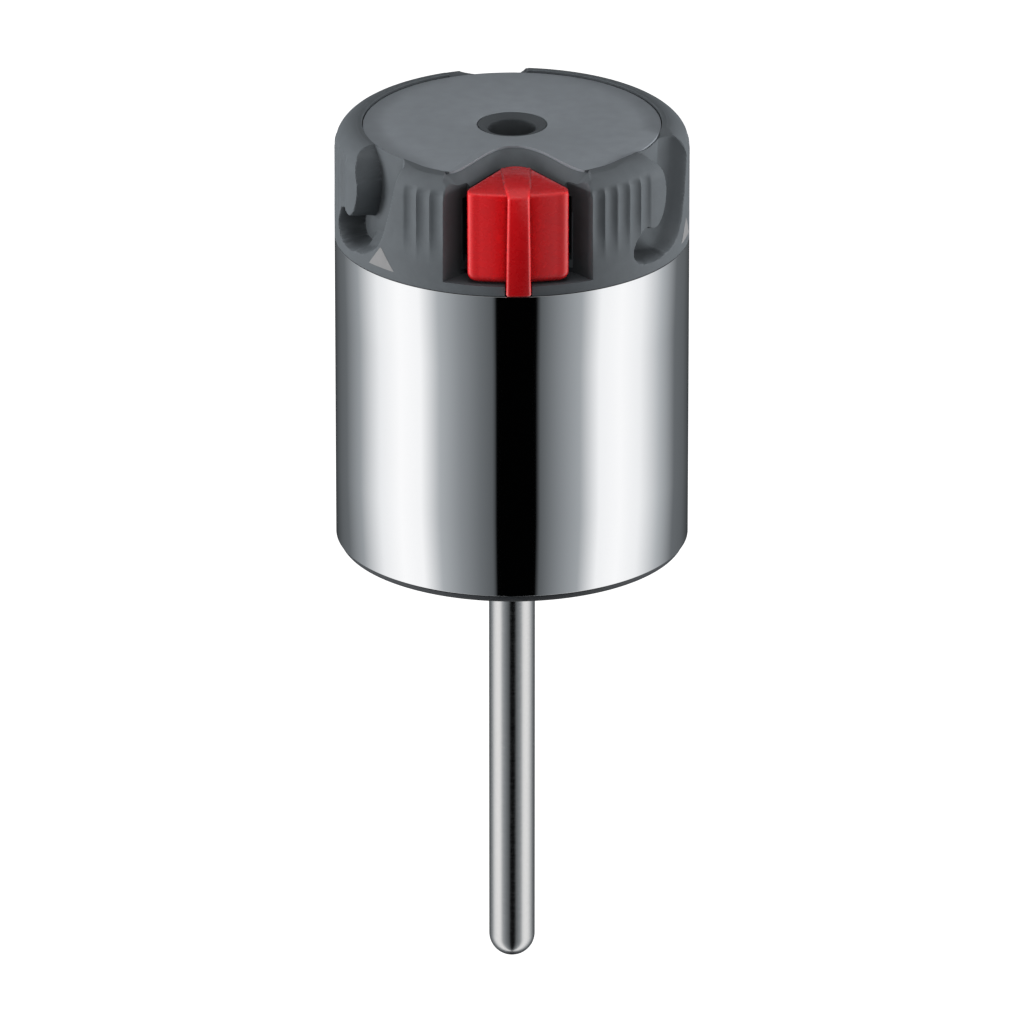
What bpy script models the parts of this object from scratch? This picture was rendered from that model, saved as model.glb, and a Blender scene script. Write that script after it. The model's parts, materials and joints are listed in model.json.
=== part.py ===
"""A hand-set probe thermometer head: a chrome body with a turning cap, a press latch and a long probe.

Metres, +Z up, front -Y. The origin is the middle of the base's underside, where the body rests on a lid
or a bracket and the probe hangs below it. Run it with: blender --background --python part.py
"""

import math

import bmesh
import bpy
from mathutils import Matrix, Vector

MM = 0.001
TURN = 2 * math.pi
FRONT = math.radians(270)
BACK = math.radians(90)
THIRDS = [math.radians(120 * step) for step in range(3)]

# The body
BODY_RADIUS = 30.5 * MM
SLEEVE_WALL = 0.8 * MM
SLEEVE_BOTTOM = 1.4 * MM
SLEEVE_TOP = 56.2 * MM
BASE_RADIUS = 30.0 * MM
BASE_RIM = 1.1 * MM
BASE_FLOOR = 2.2 * MM
PLUG_RADIUS = 29.3 * MM
PLUG_TOP = 5.2 * MM

# The probe, on the body's axis
PROBE_RADIUS = 4.0 * MM
PROBE_WALL = 0.5 * MM
PROBE_REACH = 79.0 * MM
PROBE_TOP = 13.0 * MM
GLAND_BORE = 4.3 * MM
GLAND_SEAT = 5.0 * MM
GLAND_RADIUS = 9.0 * MM
GLAND_TOP = 9.0 * MM

# The chassis: deck, posts and the neck that the cap turns on
DECK_BOTTOM = 52.9 * MM
DECK_TOP = 55.2 * MM
DECK_RADIUS = 29.3 * MM
POST_CIRCLE = 22.0 * MM
POST_RADIUS = 3.0 * MM
POST_BOTTOM = 2.6 * MM
POST_ANGLES = [BACK + third for third in THIRDS]
NECK_RADIUS = 9.0 * MM
NECK_BORE = 6.6 * MM
NECK_TOP = 65.9 * MM
CLIP_GROOVE = (63.3 * MM, 64.5 * MM)

# The three cells stand between the posts
CELL_CIRCLE = 18.5 * MM
CELL_RADIUS = 5.25 * MM
CELL_BOTTOM = 5.6 * MM
CELL_LENGTH = 44.5 * MM
CELL_ANGLES = [FRONT + third for third in THIRDS]

# The boards
LOWER_BOARD = (3.0 * MM, 3.8 * MM)
UPPER_BOARD = (50.9 * MM, 52.1 * MM)
BOARD_RADIUS = 28.6 * MM

# The turning cap
CAP_BOTTOM = 56.5 * MM
CAP_TOP = 76.5 * MM
CAP_CAVITY = 24.0 * MM
CAP_CEILING = 68.2 * MM
RIM_HEIGHT = 0.4 * MM
RIM_DIP = 0.55 * MM
SHOULDER = 4.4 * MM
DISC_RADIUS = 25.6 * MM
DISC_BOTTOM = 74.9 * MM
GAP = 0.3 * MM
SCOOP_DEPTH = 4.4 * MM
INDEX_ANGLES = [math.radians(degrees) for degrees in (-49.3, 75.7, 190.7)]

# The latch and its pocket in the front of the cap
LATCH_HALF = 8.6 * MM
LATCH_FRONT = 29.7 * MM
LATCH_BACK = 26.2 * MM
LATCH_BOTTOM = 59.1 * MM
LATCH_ROOF = 74.6 * MM
LATCH_APEX = 15.3 * MM
POCKET_HALF = 10.4 * MM
POCKET_MARGIN = 1.8 * MM
POCKET_FLOOR = 58.3 * MM
SHELF = (59.2 * MM, 60.6 * MM)
WALL_Y = (-20.6 * MM, -19.1 * MM)
RIB_HALF = 2.0 * MM
RIB_FRONT = 31.3 * MM
TONGUE = (61.2 * MM, 62.4 * MM)
LEG_Y = (-20.2 * MM, -19.2 * MM)
PIN_OFFSET = 5.5 * MM
PIN_HEIGHT = 66.0 * MM

# The brake drum and the stops
DRUM_INNER = 21.6 * MM
DRUM_OUTER = 22.5 * MM
DRUM = (55.5 * MM, 58.8 * MM)
STOP_HALF = math.radians(21.8)

# The hub that hangs the cap on the neck
HUB_BORE = 10.9 * MM
HUB_RADIUS = 13.4 * MM
HUB_BOTTOM = 57.2 * MM
HUB_SHOULDER = 63.1 * MM
HUB_TOP = 66.0 * MM
HUB_FLANGE = (60.4 * MM, 61.7 * MM)
MAGNET_RADIUS = 17.0 * MM
BOSS_CIRCLE = 18.0 * MM
BOSS_RADIUS = 2.8 * MM
BOSS_TOP = 67.9 * MM


def clear_scene():
    for item in list(bpy.data.objects):
        bpy.data.objects.remove(item, do_unlink=True)


def material(name, color, roughness, metallic=0.0):
    found = bpy.data.materials.get(name) or bpy.data.materials.new(name)
    found.use_nodes = True
    shader = found.node_tree.nodes["Principled BSDF"]
    shader.inputs["Base Color"].default_value = (*color, 1)
    shader.inputs["Roughness"].default_value = roughness
    shader.inputs["Metallic"].default_value = metallic
    return found


def chrome():
    return material("chrome", (0.80, 0.81, 0.83), 0.06, 1.0)


def probe_steel():
    return material("probe_steel", (0.62, 0.62, 0.62), 0.28, 1.0)


def cap_plastic():
    return material("cap_plastic", (0.085, 0.096, 0.108), 0.48)


def disc_plastic():
    return material("disc_plastic", (0.17, 0.19, 0.215), 0.5)


def dark_plastic():
    return material("dark_plastic", (0.03, 0.033, 0.037), 0.55)


def latch_plastic():
    return material("latch_plastic", (0.52, 0.01, 0.015), 0.22)


def mark_plastic():
    return material("mark_plastic", (0.31, 0.31, 0.31), 0.5)


def chassis_plastic():
    return material("chassis_plastic", (0.72, 0.72, 0.69), 0.55)


def bearing_plastic():
    return material("bearing_plastic", (0.82, 0.80, 0.74), 0.4)


def board_material():
    return material("board", (0.02, 0.16, 0.07), 0.45)


def chip_plastic():
    return material("chip_plastic", (0.02, 0.02, 0.02), 0.5)


def rubber():
    return material("rubber", (0.02, 0.02, 0.02), 0.8)


def brass():
    return material("brass", (0.72, 0.53, 0.25), 0.3, 1.0)


def bright_steel():
    return material("bright_steel", (0.55, 0.55, 0.55), 0.3, 1.0)


def magnet_material():
    return material("magnet", (0.12, 0.12, 0.13), 0.4, 0.6)


def cell_jacket():
    return material("cell_jacket", (0.10, 0.13, 0.17), 0.3, 0.4)


def red_wire():
    return material("red_wire", (0.6, 0.02, 0.02), 0.5)


def black_wire():
    return material("black_wire", (0.02, 0.02, 0.02), 0.5)


def ceramic():
    return material("ceramic", (0.75, 0.72, 0.66), 0.35)


def build(name, mesh_maker, finish):
    """One object made by mesh_maker(bm), smooth on its round faces."""
    bm = bmesh.new()
    mesh_maker(bm)
    bmesh.ops.remove_doubles(bm, verts=bm.verts, dist=1e-7)
    bmesh.ops.recalc_face_normals(bm, faces=bm.faces)
    mesh = bpy.data.meshes.new(name)
    bm.to_mesh(mesh)
    bm.free()
    mesh.materials.append(finish)
    mesh.shade_smooth()
    mesh.set_sharp_from_angle(angle=math.radians(35))
    piece = bpy.data.objects.new(name, mesh)
    bpy.context.scene.collection.objects.link(piece)
    return piece


def turned(name, outline, finish, segments=48, place=(0, 0)):
    """A body of revolution about +Z. An outline that starts on the axis is left open along it."""

    def maker(bm):
        points = [bm.verts.new((radius, 0, height)) for radius, height in outline]
        edges = [bm.edges.new(pair) for pair in zip(points, points[1:])]
        if outline[0][0] > 0:
            edges.append(bm.edges.new((points[-1], points[0])))
        bmesh.ops.spin(bm, geom=points + edges, axis=(0, 0, 1), cent=(0, 0, 0), angle=TURN, steps=segments)

    piece = build(name, maker, finish)
    piece.location = (*place, 0)
    return piece


def prism(name, outline, bottom, top, finish):
    """A closed outline in the XY plane, extruded from bottom to top."""

    def maker(bm):
        face = bm.faces.new([bm.verts.new((x, y, bottom)) for x, y in outline])
        grown = bmesh.ops.extrude_face_region(bm, geom=[face])["geom"]
        moved = [item for item in grown if isinstance(item, bmesh.types.BMVert)]
        bmesh.ops.translate(bm, verts=moved, vec=(0, 0, top - bottom))

    return build(name, maker, finish)


def block(name, x_range, y_range, z_range, finish):
    left, right = x_range
    front, back = y_range
    corners = [(left, front), (right, front), (right, back), (left, back)]
    return prism(name, corners, z_range[0], z_range[1], finish)


def sector(name, radii, z_range, angles, finish, steps=8):
    """A part of a flat ring, between two angles."""
    sweep = [angles[0] + (angles[1] - angles[0]) * step / steps for step in range(steps + 1)]
    outer = [polar(radii[1], angle) for angle in sweep]
    inner = [polar(radii[0], angle) for angle in reversed(sweep)]
    return prism(name, outer + inner, z_range[0], z_range[1], finish)


def rod(name, radius, start, end, finish, segments=12):
    """A round bar between two points."""
    start, end = Vector(start), Vector(end)
    along = end - start
    turn = along.to_track_quat("Z", "Y").to_matrix().to_4x4()

    def maker(bm):
        bmesh.ops.create_cone(
            bm,
            cap_ends=True,
            segments=segments,
            radius1=radius,
            radius2=radius,
            depth=along.length,
            matrix=Matrix.Translation((start + end) / 2) @ turn,
        )

    return build(name, maker, finish)


def coil(name, wire, radius, turns, start, end, finish, steps_per_turn=12, sides=5):
    """A round-wire spring from start to end, its ends closed by flat faces."""
    start, end = Vector(start), Vector(end)
    along = end - start
    frame = along.to_track_quat("Z", "Y").to_matrix()

    def maker(bm):
        count = int(turns * steps_per_turn)
        rings = []
        for step in range(count + 1):
            angle = TURN * turns * step / count
            outward = frame @ Vector((math.cos(angle), math.sin(angle), 0))
            centre = start + along * step / count + outward * radius
            around = [TURN * side / sides for side in range(sides)]
            axis = along.normalized()
            ring = [centre + wire * (outward * math.cos(turn) + axis * math.sin(turn)) for turn in around]
            rings.append([bm.verts.new(point) for point in ring])
        for first, second in zip(rings, rings[1:]):
            for side in range(sides):
                following = (side + 1) % sides
                bm.faces.new((first[side], first[following], second[following], second[side]))
        bm.faces.new(rings[0])
        bm.faces.new(rings[-1])

    return build(name, maker, finish)


def polar(radius, angle):
    return (radius * math.cos(angle), radius * math.sin(angle))


def arc(centre, radii, start, end, steps):
    """Points on an ellipse's arc in an outline, angles in degrees."""
    angles = [math.radians(start + (end - start) * step / steps) for step in range(steps + 1)]
    across, up = radii
    return [(centre[0] + across * math.cos(angle), centre[1] + up * math.sin(angle)) for angle in angles]


def cut(piece, *cutters):
    combine(piece, "DIFFERENCE", cutters)


def fuse(piece, *others):
    combine(piece, "UNION", others)


def combine(piece, operation, helpers):
    for helper in helpers:
        helper.hide_render = True
        helper.display_type = "WIRE"
        change = piece.modifiers.new(helper.name, "BOOLEAN")
        change.operation = operation
        change.object = helper


def make_sleeve():
    inner = BODY_RADIUS - SLEEVE_WALL
    lip = 27.5 * MM
    lip_bottom = SLEEVE_TOP - SLEEVE_WALL
    edge = 0.25 * MM
    outline = [
        (inner, SLEEVE_BOTTOM),
        (BODY_RADIUS - edge, SLEEVE_BOTTOM),
        (BODY_RADIUS, SLEEVE_BOTTOM + edge),
        (BODY_RADIUS, SLEEVE_TOP - edge),
        (BODY_RADIUS - edge, SLEEVE_TOP),
        (lip, SLEEVE_TOP),
        (lip, lip_bottom),
        (inner, lip_bottom),
    ]
    turned("body_sleeve", outline, chrome(), 60)


def make_base():
    groove = (2.7 * MM, 4.1 * MM)
    groove_floor = 28.2 * MM
    wall = 26.5 * MM
    counterbore = 7.0 * MM
    soft = 0.9 * MM
    rim = arc((BASE_RADIUS - soft, soft), (soft, soft), -90, 0, 3)
    outline = [
        (GLAND_BORE, 0),
        *rim,
        (BASE_RADIUS, BASE_RIM),
        (PLUG_RADIUS, BASE_RIM),
        (PLUG_RADIUS, groove[0]),
        (groove_floor, groove[0]),
        (groove_floor, groove[1]),
        (PLUG_RADIUS, groove[1]),
        (PLUG_RADIUS, PLUG_TOP),
        (wall, PLUG_TOP),
        (wall, BASE_FLOOR),
        (GLAND_RADIUS, BASE_FLOOR),
        (GLAND_RADIUS, GLAND_TOP),
        (counterbore, GLAND_TOP),
        (counterbore, GLAND_SEAT),
        (GLAND_BORE, GLAND_SEAT),
    ]
    base = turned("base_cap", outline, dark_plastic(), 48)
    hole = [
        (0, -1 * MM),
        (3.0 * MM, -1 * MM),
        (3.0 * MM, 0.2 * MM),
        (1.6 * MM, 1.6 * MM),
        (1.6 * MM, 3 * MM),
        (0, 3 * MM),
    ]
    screw = [
        (0, 0.2 * MM),
        (2.6 * MM, 0.2 * MM),
        (2.6 * MM, 0.4 * MM),
        (1.2 * MM, 1.8 * MM),
        (1.2 * MM, 12 * MM),
        (0, 12.6 * MM),
    ]
    for number, angle in enumerate(POST_ANGLES, 1):
        place = polar(POST_CIRCLE, angle)
        cut(base, turned(f"screw_hole_{number}", hole, dark_plastic(), 12, place))
        turned(f"base_screw_{number}", screw, bright_steel(), 12, place)
    ring("base_seal", 28.95 * MM, 0.5 * MM, 3.4 * MM, rubber())


def ring(name, radius, thickness, height, finish, segments=32):
    """An O-ring."""
    outline = arc((radius, height), (thickness, thickness), 0, 300, 5)
    turned(name, outline, finish, segments)


def make_probe():
    inner = PROBE_RADIUS - PROBE_WALL
    middle = -PROBE_REACH + PROBE_RADIUS
    flange = (6.6 * MM, 6.5 * MM, 7.5 * MM)
    outside = arc((0, middle), (PROBE_RADIUS, PROBE_RADIUS), -90, 0, 6)
    inside = arc((0, middle), (inner, inner), 0, -90, 5)
    outline = [
        *outside,
        (PROBE_RADIUS, flange[1]),
        (flange[0], flange[1]),
        (flange[0], flange[2]),
        (PROBE_RADIUS, flange[2]),
        (PROBE_RADIUS, PROBE_TOP),
        (inner, PROBE_TOP),
        *inside,
    ]
    outline[0] = (0, -PROBE_REACH)
    outline[-1] = (0, middle - inner)
    turned("probe_tube", outline, probe_steel(), 24)
    ring("probe_seal", 5.5 * MM, 0.5 * MM, 5.75 * MM, rubber(), 16)

    bead_radius = 1.6 * MM
    bead_bottom = middle - 1.2 * MM
    bead_top = bead_bottom + 5 * MM
    bead = [
        (0, bead_bottom),
        (bead_radius * 0.7, bead_bottom + 0.4 * MM),
        (bead_radius, bead_bottom + 1.3 * MM),
        (bead_radius, bead_top - 0.6 * MM),
        (0.9 * MM, bead_top),
        (0, bead_top),
    ]
    turned("sensor_bead", bead, ceramic(), 16)
    plug_bottom = 48.2 * MM
    rod("sensor_lead", 1.1 * MM, (0, 0, bead_top + GAP), (0, 0, plug_bottom - GAP), black_wire(), 10)
    block(
        "sensor_plug",
        (-3 * MM, 3 * MM),
        (-2.5 * MM, 2.5 * MM),
        (plug_bottom, UPPER_BOARD[0] - GAP),
        bearing_plastic(),
    )


def make_probe_nut():
    """A hexagon head over a threaded stem, bored for the probe."""
    stem = (6.7 * MM, 7.9 * MM)
    head = (9.3 * MM, 12.0 * MM)
    across_corners = 16.2 * MM
    corners = [polar(across_corners / 2, TURN * corner / 6) for corner in range(6)]
    nut = prism("probe_nut", corners, head[0], head[1], brass())
    fuse(nut, rod("nut_stem", stem[0], (0, 0, stem[1]), (0, 0, head[0] + 0.5 * MM), brass(), 32))
    cut(nut, rod("nut_bore", 4.3 * MM, (0, 0, 7 * MM), (0, 0, 13 * MM), brass(), 32))


def make_chassis():
    body = [
        (NECK_BORE, DECK_BOTTOM),
        (DECK_RADIUS, DECK_BOTTOM),
        (DECK_RADIUS, DECK_TOP),
        (NECK_RADIUS, DECK_TOP),
        (NECK_RADIUS, CLIP_GROOVE[0]),
        (NECK_RADIUS - 0.8 * MM, CLIP_GROOVE[0]),
        (NECK_RADIUS - 0.8 * MM, CLIP_GROOVE[1]),
        (NECK_RADIUS, CLIP_GROOVE[1]),
        (NECK_RADIUS, NECK_TOP),
        (NECK_BORE, NECK_TOP),
    ]
    chassis = turned("chassis", body, chassis_plastic(), 40)
    for number, angle in enumerate(POST_ANGLES, 1):
        x, y = polar(POST_CIRCLE, angle)
        foot, top = (x, y, POST_BOTTOM), (x, y, DECK_BOTTOM + 1 * MM)
        fuse(chassis, rod(f"post_{number}", POST_RADIUS, foot, top, chassis_plastic(), 14))
        cut(chassis, rod(f"pilot_{number}", 1.45 * MM, (x, y, 1 * MM), (x, y, 15 * MM), chassis_plastic()))
    window = block(
        "sensor_window",
        (18.0 * MM, 23.0 * MM),
        (-2.5 * MM, 2.5 * MM),
        (DECK_BOTTOM - 1 * MM, DECK_BOTTOM + 1.3 * MM),
        chassis_plastic(),
    )
    cut(chassis, window)


def cut_post_holes(board, heights):
    """Clears a board round the chassis posts."""
    for number, angle in enumerate(POST_ANGLES, 1):
        x, y = polar(POST_CIRCLE, angle)
        start, end = (x, y, heights[0] - 1 * MM), (x, y, heights[1] + 1 * MM)
        hole = rod(f"{board.name}_hole_{number}", POST_RADIUS + 0.35 * MM, start, end, board_material(), 16)
        cut(board, hole)


def make_power_supply():
    inner = 11 * MM
    outline = [
        (inner, LOWER_BOARD[0]),
        (25.8 * MM, LOWER_BOARD[0]),
        (25.8 * MM, LOWER_BOARD[1]),
        (inner, LOWER_BOARD[1]),
    ]
    board = turned("contact_board", outline, board_material(), 32)
    cut_post_holes(board, LOWER_BOARD)

    nib = (1.9 * MM, 0.8 * MM)
    top = CELL_BOTTOM + CELL_LENGTH
    cell = [
        (0, CELL_BOTTOM),
        (4.2 * MM, CELL_BOTTOM),
        (CELL_RADIUS, CELL_BOTTOM + 0.6 * MM),
        (CELL_RADIUS, top - nib[1] - 0.5 * MM),
        (CELL_RADIUS - 0.5 * MM, top - nib[1]),
        (nib[0], top - nib[1]),
        (nib[0], top),
        (0, top),
    ]
    tab_low, tab_high = top + 0.25 * MM, top + 0.55 * MM
    tab = [(0, tab_low), (3.2 * MM, tab_low), (3.2 * MM, tab_high), (0, tab_high)]
    for number, angle in enumerate(CELL_ANGLES, 1):
        x, y = polar(CELL_CIRCLE, angle)
        turned(f"cell_{number}", cell, cell_jacket(), 16, (x, y))
        turned(f"upper_contact_{number}", tab, bright_steel(), 12, (x, y))
        start = (x, y, LOWER_BOARD[1] + 0.4 * MM)
        end = (x, y, CELL_BOTTOM - 0.4 * MM)
        coil(f"cell_spring_{number}", 0.2 * MM, 2.6 * MM, 2, start, end, bright_steel(), 9, 4)

    for name, side, finish in (("supply_wire_red", 1, red_wire()), ("supply_wire_black", -1, black_wire())):
        x, y = polar(24 * MM, math.radians(5) * side)
        rod(name, 0.7 * MM, (x, y, LOWER_BOARD[1] + GAP), (x, y, UPPER_BOARD[0] - GAP), finish, 8)


def make_main_board():
    low, high = UPPER_BOARD
    disc = [(0, low), (BOARD_RADIUS, low), (BOARD_RADIUS, high), (0, high)]
    board = turned("main_board", disc, board_material(), 32)
    cut_post_holes(board, UPPER_BOARD)
    under = UPPER_BOARD[0] - GAP
    chip_circle = 12 * MM
    chip_half = 3.5 * MM
    block(
        "controller_chip",
        (-chip_half, chip_half),
        (chip_circle - chip_half, chip_circle + chip_half),
        (under - 1 * MM, under),
        chip_plastic(),
    )
    x, y = polar(chip_circle, POST_ANGLES[1])
    module_height = (under - 1.6 * MM, under)
    block("radio_module", (x - 4 * MM, x + 4 * MM), (y - 2 * MM, y + 4 * MM), module_height, bright_steel())
    can_bottom = under - 7.5 * MM
    can = [
        (0, can_bottom),
        (2.2 * MM, can_bottom),
        (2.5 * MM, can_bottom + 0.3 * MM),
        (2.5 * MM, under),
        (0, under),
    ]
    turned("capacitor", can, cell_jacket(), 20, polar(chip_circle, POST_ANGLES[2]))
    block(
        "position_sensor",
        (18.6 * MM, 22.4 * MM),
        (-1.9 * MM, 1.9 * MM),
        (UPPER_BOARD[1] + GAP, UPPER_BOARD[1] + 1.6 * MM),
        chip_plastic(),
    )


def make_buzzer():
    bottom = 57.5 * MM
    top = 66.4 * MM
    radius = 6.0 * MM
    hole, floor = 1.2 * MM, 65.0 * MM
    outline = [(0, bottom), (radius, bottom), (radius, top), (hole, top), (hole, floor), (0, floor)]
    turned("buzzer", outline, chip_plastic(), 24)
    rod("buzzer_lead", 0.9 * MM, (0, 0, UPPER_BOARD[1] + GAP), (0, 0, bottom - GAP), red_wire(), 8)


def make_bearing():
    bush = [(9.3 * MM, 55.6 * MM), (10.6 * MM, 55.6 * MM), (10.6 * MM, 62.9 * MM), (9.3 * MM, 62.9 * MM)]
    turned("bearing_bush", bush, bearing_plastic(), 32)
    groove = (CLIP_GROOVE[0] + 0.15 * MM, CLIP_GROOVE[1] - 0.15 * MM)
    gap_half = math.radians(14)
    span = (BACK + gap_half, BACK + TURN - gap_half)
    sector("retaining_ring", (8.45 * MM, 11.8 * MM), groove, span, bright_steel(), 32)

    def wave(bm):
        """A spring washer with three waves."""
        thickness = 0.35 * MM
        lift = 0.3 * MM
        middle = 56.0 * MM
        steps = 24
        rows = []
        for step in range(steps):
            angle = TURN * step / steps
            height = middle + lift * math.sin(3 * angle)
            section = [(11.1 * MM, 0), (13.2 * MM, 0), (13.2 * MM, thickness), (11.1 * MM, thickness)]
            rows.append([bm.verts.new((*polar(radius, angle), height + extra)) for radius, extra in section])
        for first, second in zip(rows, rows[1:] + rows[:1]):
            for corner in range(4):
                following = (corner + 1) % 4
                bm.faces.new((first[corner], first[following], second[following], second[corner]))

    build("friction_washer", wave, bright_steel())


def make_drum():
    outline = [
        (DRUM_INNER, DRUM[0]),
        (DRUM_OUTER, DRUM[0]),
        (DRUM_OUTER, DRUM[1]),
        (DRUM_INNER, DRUM[1]),
    ]
    drum = turned("brake_drum", outline, bright_steel(), 48)
    lug_angles = (FRONT - STOP_HALF, FRONT + STOP_HALF)
    fuse(drum, sector("stop_lug", (22.1 * MM, 23.7 * MM), DRUM, lug_angles, bright_steel()))


def make_hub():
    outline = [
        (HUB_BORE, HUB_BOTTOM),
        (HUB_RADIUS, HUB_BOTTOM),
        (HUB_RADIUS, HUB_FLANGE[0]),
        (MAGNET_RADIUS + 0.3 * MM, HUB_FLANGE[0]),
        (MAGNET_RADIUS + 0.3 * MM, HUB_FLANGE[1]),
        (HUB_RADIUS, HUB_FLANGE[1]),
        (HUB_RADIUS, HUB_TOP),
        (12.2 * MM, HUB_TOP),
        (12.2 * MM, HUB_SHOULDER),
        (HUB_BORE, HUB_SHOULDER),
    ]
    hub = turned("hub", outline, bearing_plastic(), 32)
    for number, angle in enumerate(POST_ANGLES, 1):
        x, y = polar(BOSS_CIRCLE, angle)
        boss_start = (x, y, HUB_FLANGE[0] + 0.4 * MM)
        boss = rod(f"hub_boss_{number}", BOSS_RADIUS, boss_start, (x, y, BOSS_TOP), bearing_plastic(), 12)
        fuse(hub, boss)
        cut(hub, rod(f"boss_pilot_{number}", 1.35 * MM, (x, y, 59 * MM), (x, y, 70 * MM), bearing_plastic()))
        screw = [(0, 62.2 * MM), (1.1 * MM, 63 * MM), (1.1 * MM, 72.1 * MM), (2.4 * MM, 72.1 * MM)]
        screw += [(2.4 * MM, 73.2 * MM), (1.6 * MM, 73.9 * MM), (0, 73.9 * MM)]
        turned(f"cap_screw_{number}", screw, bright_steel(), 12, (x, y))
    bore, low, high = 13.8 * MM, HUB_BOTTOM, 60.1 * MM
    magnet = [(bore, low), (MAGNET_RADIUS, low), (MAGNET_RADIUS, high), (bore, high)]
    turned("magnet_ring", magnet, magnet_material(), 32)


def scoop_edges(height):
    """A scoop's steep and shallow edges at a height over the cap's bottom, in degrees from the front."""
    near = [(1.8, 56), (2, 46), (3, 42), (5, 40.7), (6.7, 42.5), (8, 49)]
    near += [(9, 54.5), (10.7, 56), (14, 57.6), (17.3, 56), (22, 51)]
    far = [(1.8, 57), (2.7, 64), (5.3, 70), (9, 73), (14, 76), (17, 78), (22, 80)]
    return [interpolate(points, height) for points in (near, far)]


def interpolate(points, value):
    for (left, low), (right, high) in zip(points, points[1:]):
        if value <= right:
            return low + (high - low) * (value - left) / (right - left)
    return points[-1][1]


def close(bm, first, second):
    """Faces between two rows of vertices."""
    for index in range(len(first) - 1):
        bm.faces.new((first[index], first[index + 1], second[index + 1], second[index]))


def scoop_cutter(name, turn):
    """A finger scoop: deep beside its steep edge, rising to the surface at the far edge."""
    heights = [1.8, 2.2, 3, 4, 5.3, 6.7, 8, 9, 10.7, 14, 17.3, 22]
    columns = 6
    outside = 34 * MM

    def maker(bm):
        inner, outer = [], []
        for height in heights:
            near, far = scoop_edges(height)
            fade = min(1, (height - heights[0]) / 1.6)
            level = CAP_BOTTOM + height * MM
            inner_row, outer_row = [], []
            for column in range(columns + 1):
                share = column / columns
                angle = FRONT + math.radians(near + (far - near) * share) + turn
                depth = SCOOP_DEPTH * fade * min(1, share * 8 + 0.6) * (1 - share) ** 0.8
                inner_row.append(bm.verts.new((*polar(BODY_RADIUS - depth, angle), level)))
                outer_row.append(bm.verts.new((*polar(outside, angle), level)))
            inner.append(inner_row)
            outer.append(outer_row)
        for grid in (inner, outer):
            for low, high in zip(grid, grid[1:]):
                for column in range(columns):
                    bm.faces.new((low[column], low[column + 1], high[column + 1], high[column]))
        for row in (0, -1):
            close(bm, inner[row], outer[row])
        for column in (0, -1):
            close(bm, [row[column] for row in inner], [row[column] for row in outer])

    return build(name, maker, cap_plastic())


def pocket_plan(margin):
    """The latch's house-shaped plan, from its point out past the cap's side, grown by a margin."""
    half = LATCH_HALF + margin
    corner = -(LATCH_BACK - 0.6 * margin)
    point = -(LATCH_APEX - 1.3 * margin)
    beyond = -(BODY_RADIUS + 3 * MM)
    tip = 1.2 * MM
    return [(-half, beyond), (half, beyond), (half, corner), (tip, point), (-tip, point), (-half, corner)]


def disc_notch(margin):
    """The bell-shaped bite out of the top disc's front edge."""
    apex = 10.7 * MM
    foot = 12.0 * MM
    steps = 12
    outline = []
    for step in range(-steps, steps + 1):
        share = abs(step) / steps
        reach = apex + (DISC_RADIUS - 2.5 * MM - apex) * (0.5 - 0.5 * math.cos(math.pi * share))
        outline.append((foot * step / steps, -reach + margin))
    outline.append((foot + 2 * MM, -(BODY_RADIUS + 3 * MM)))
    outline.append((-foot - 2 * MM, -(BODY_RADIUS + 3 * MM)))
    return outline


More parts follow.
